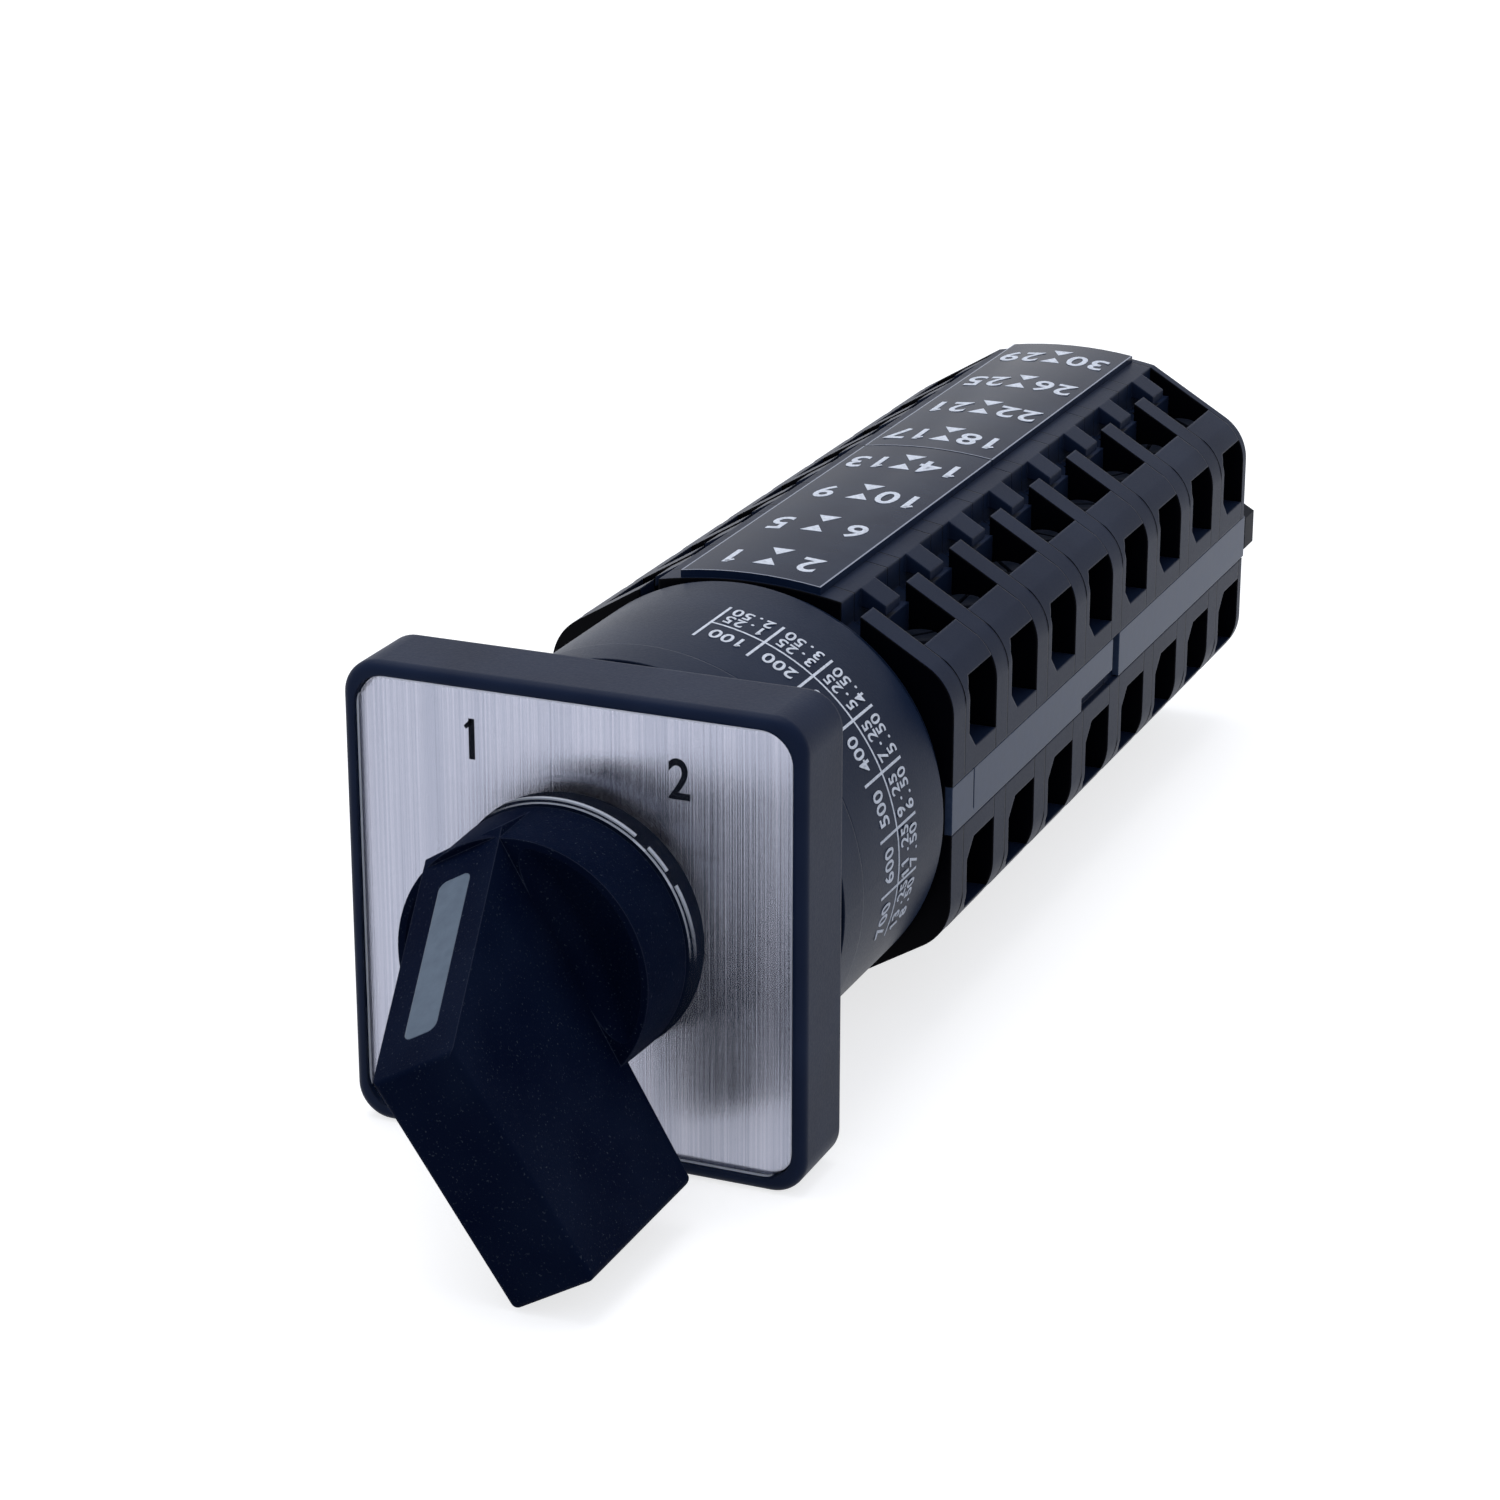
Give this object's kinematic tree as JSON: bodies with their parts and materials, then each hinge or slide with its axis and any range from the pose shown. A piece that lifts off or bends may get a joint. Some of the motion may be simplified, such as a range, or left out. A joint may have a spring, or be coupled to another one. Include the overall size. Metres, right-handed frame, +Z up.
{
  "type": "changeover cam switch",
  "caption": "Rotary changeover cam switch for panel mounting: pointer knob and square front plate ahead of a round detent housing and a row of contact stages.",
  "frame": {"origin": "on the shaft axis, in the plane where the front frame's back meets the panel", "axes": "+Y along the shaft towards the rear stages, +Z up, the knob looks towards -Y"},
  "size_m": [0.048, 0.1875, 0.048],
  "materials": {
    "knob_plastic": "fine grain",
    "indicator_plastic": "satin",
    "frame_plastic": "satin",
    "brushed_plate": "brushed",
    "clear_plastic": "clear",
    "housing_plastic": "satin",
    "stage_plastic": "satin",
    "cam_plastic": "smooth",
    "label_plastic": "glossy",
    "strip_plastic": "satin",
    "zinc_steel": "zinc plated",
    "spring_steel": "bright",
    "contact_brass": "bright"
  },
  "bodies": {
    "housing": {"front_frame": "frame_plastic", "label_plate": "brushed_plate", "clear_cover": "clear_plastic", "mounting_screws": "zinc_steel", "detent_housing": "housing_plastic", "housing_cover": "housing_plastic", "detent_rollers": "zinc_steel", "detent_springs": "spring_steel", "fixed_contacts": "contact_brass", "terminal_screws": "zinc_steel", "terminal_clamps": "zinc_steel", "upper_springs": "spring_steel", "lower_springs": "spring_steel", "rear_cover": "stage_plastic", "tie_bolts": "zinc_steel", "top_labels": "label_plastic", "bottom_labels": "label_plastic", "side_strips": "strip_plastic", "wafer_1": "stage_plastic", "wafer_2": "stage_plastic", "wafer_3": "stage_plastic", "wafer_4": "stage_plastic", "wafer_5": "stage_plastic", "wafer_6": "stage_plastic", "wafer_7": "stage_plastic", "wafer_8": "stage_plastic"},
    "knob_and_cams": {"knob": "knob_plastic", "knob_indicator": "indicator_plastic", "knob_clip": "spring_steel", "star_wheel": "cam_plastic", "shaft": "zinc_steel", "shaft_clip": "spring_steel", "cam_1": "cam_plastic", "cam_2": "cam_plastic", "cam_3": "cam_plastic", "cam_4": "cam_plastic", "cam_5": "cam_plastic", "cam_6": "cam_plastic", "cam_7": "cam_plastic", "cam_8": "cam_plastic"},
    "upper_contact_1": {"upper_contact_1": "contact_brass"},
    "lower_contact_1": {"lower_contact_1": "contact_brass"},
    "upper_contact_2": {"upper_contact_2": "contact_brass"},
    "lower_contact_2": {"lower_contact_2": "contact_brass"},
    "upper_contact_3": {"upper_contact_3": "contact_brass"},
    "lower_contact_3": {"lower_contact_3": "contact_brass"},
    "upper_contact_4": {"upper_contact_4": "contact_brass"},
    "lower_contact_4": {"lower_contact_4": "contact_brass"},
    "upper_contact_5": {"upper_contact_5": "contact_brass"},
    "lower_contact_5": {"lower_contact_5": "contact_brass"},
    "upper_contact_6": {"upper_contact_6": "contact_brass"},
    "lower_contact_6": {"lower_contact_6": "contact_brass"},
    "upper_contact_7": {"upper_contact_7": "contact_brass"},
    "lower_contact_7": {"lower_contact_7": "contact_brass"},
    "upper_contact_8": {"upper_contact_8": "contact_brass"},
    "lower_contact_8": {"lower_contact_8": "contact_brass"}
  },
  "joints": [
    {"name": "knob_turn", "type": "hinge", "parent": "housing", "child": "knob_and_cams", "pos_m": [0, 0, 0], "axis": [0, 1, 0], "range_deg": [0, 60]},
    {"name": "upper_contact_1_slide", "type": "slide", "parent": "housing", "child": "upper_contact_1", "axis": [0, 0, 1], "range_m": [0, 0.0016], "deforming": ["upper_springs"]},
    {"name": "lower_contact_1_slide", "type": "slide", "parent": "housing", "child": "lower_contact_1", "axis": [0, 0, 1], "range_m": [0, 0.0016], "deforming": ["lower_springs"]},
    {"name": "upper_contact_2_slide", "type": "slide", "parent": "housing", "child": "upper_contact_2", "axis": [0, 0, 1], "range_m": [0, 0.0016]},
    {"name": "lower_contact_2_slide", "type": "slide", "parent": "housing", "child": "lower_contact_2", "axis": [0, 0, 1], "range_m": [0, 0.0016]},
    {"name": "upper_contact_3_slide", "type": "slide", "parent": "housing", "child": "upper_contact_3", "axis": [0, 0, 1], "range_m": [0, 0.0016]},
    {"name": "lower_contact_3_slide", "type": "slide", "parent": "housing", "child": "lower_contact_3", "axis": [0, 0, 1], "range_m": [0, 0.0016]},
    {"name": "upper_contact_4_slide", "type": "slide", "parent": "housing", "child": "upper_contact_4", "axis": [0, 0, 1], "range_m": [0, 0.0016]},
    {"name": "lower_contact_4_slide", "type": "slide", "parent": "housing", "child": "lower_contact_4", "axis": [0, 0, 1], "range_m": [0, 0.0016]},
    {"name": "upper_contact_5_slide", "type": "slide", "parent": "housing", "child": "upper_contact_5", "axis": [0, 0, 1], "range_m": [0, 0.0016]},
    {"name": "lower_contact_5_slide", "type": "slide", "parent": "housing", "child": "lower_contact_5", "axis": [0, 0, 1], "range_m": [0, 0.0016]},
    {"name": "upper_contact_6_slide", "type": "slide", "parent": "housing", "child": "upper_contact_6", "axis": [0, 0, 1], "range_m": [0, 0.0016]},
    {"name": "lower_contact_6_slide", "type": "slide", "parent": "housing", "child": "lower_contact_6", "axis": [0, 0, 1], "range_m": [0, 0.0016]},
    {"name": "upper_contact_7_slide", "type": "slide", "parent": "housing", "child": "upper_contact_7", "axis": [0, 0, 1], "range_m": [0, 0.0016]},
    {"name": "lower_contact_7_slide", "type": "slide", "parent": "housing", "child": "lower_contact_7", "axis": [0, 0, 1], "range_m": [0, 0.0016]},
    {"name": "upper_contact_8_slide", "type": "slide", "parent": "housing", "child": "upper_contact_8", "axis": [0, 0, 1], "range_m": [0, 0.0016]},
    {"name": "lower_contact_8_slide", "type": "slide", "parent": "housing", "child": "lower_contact_8", "axis": [0, 0, 1], "range_m": [0, 0.0016]}
  ],
  "couplings": [
    {"joint": "upper_contact_1_slide", "follows": "knob_turn", "m_per_rad": 0.0015278},
    {"joint": "lower_contact_1_slide", "follows": "knob_turn", "m_per_rad": 0.0015278},
    {"joint": "upper_contact_2_slide", "follows": "knob_turn", "m_per_rad": 0.0015278},
    {"joint": "lower_contact_2_slide", "follows": "knob_turn", "m_per_rad": 0.0015278},
    {"joint": "upper_contact_3_slide", "follows": "knob_turn", "m_per_rad": 0.0015278},
    {"joint": "lower_contact_3_slide", "follows": "knob_turn", "m_per_rad": 0.0015278},
    {"joint": "upper_contact_4_slide", "follows": "knob_turn", "m_per_rad": 0.0015278},
    {"joint": "lower_contact_4_slide", "follows": "knob_turn", "m_per_rad": 0.0015278},
    {"joint": "upper_contact_5_slide", "follows": "knob_turn", "m_per_rad": 0.0015278},
    {"joint": "lower_contact_5_slide", "follows": "knob_turn", "m_per_rad": 0.0015278},
    {"joint": "upper_contact_6_slide", "follows": "knob_turn", "m_per_rad": 0.0015278},
    {"joint": "lower_contact_6_slide", "follows": "knob_turn", "m_per_rad": 0.0015278},
    {"joint": "upper_contact_7_slide", "follows": "knob_turn", "m_per_rad": 0.0015278},
    {"joint": "lower_contact_7_slide", "follows": "knob_turn", "m_per_rad": 0.0015278},
    {"joint": "upper_contact_8_slide", "follows": "knob_turn", "m_per_rad": 0.0015278},
    {"joint": "lower_contact_8_slide", "follows": "knob_turn", "m_per_rad": 0.0015278}
  ]
}
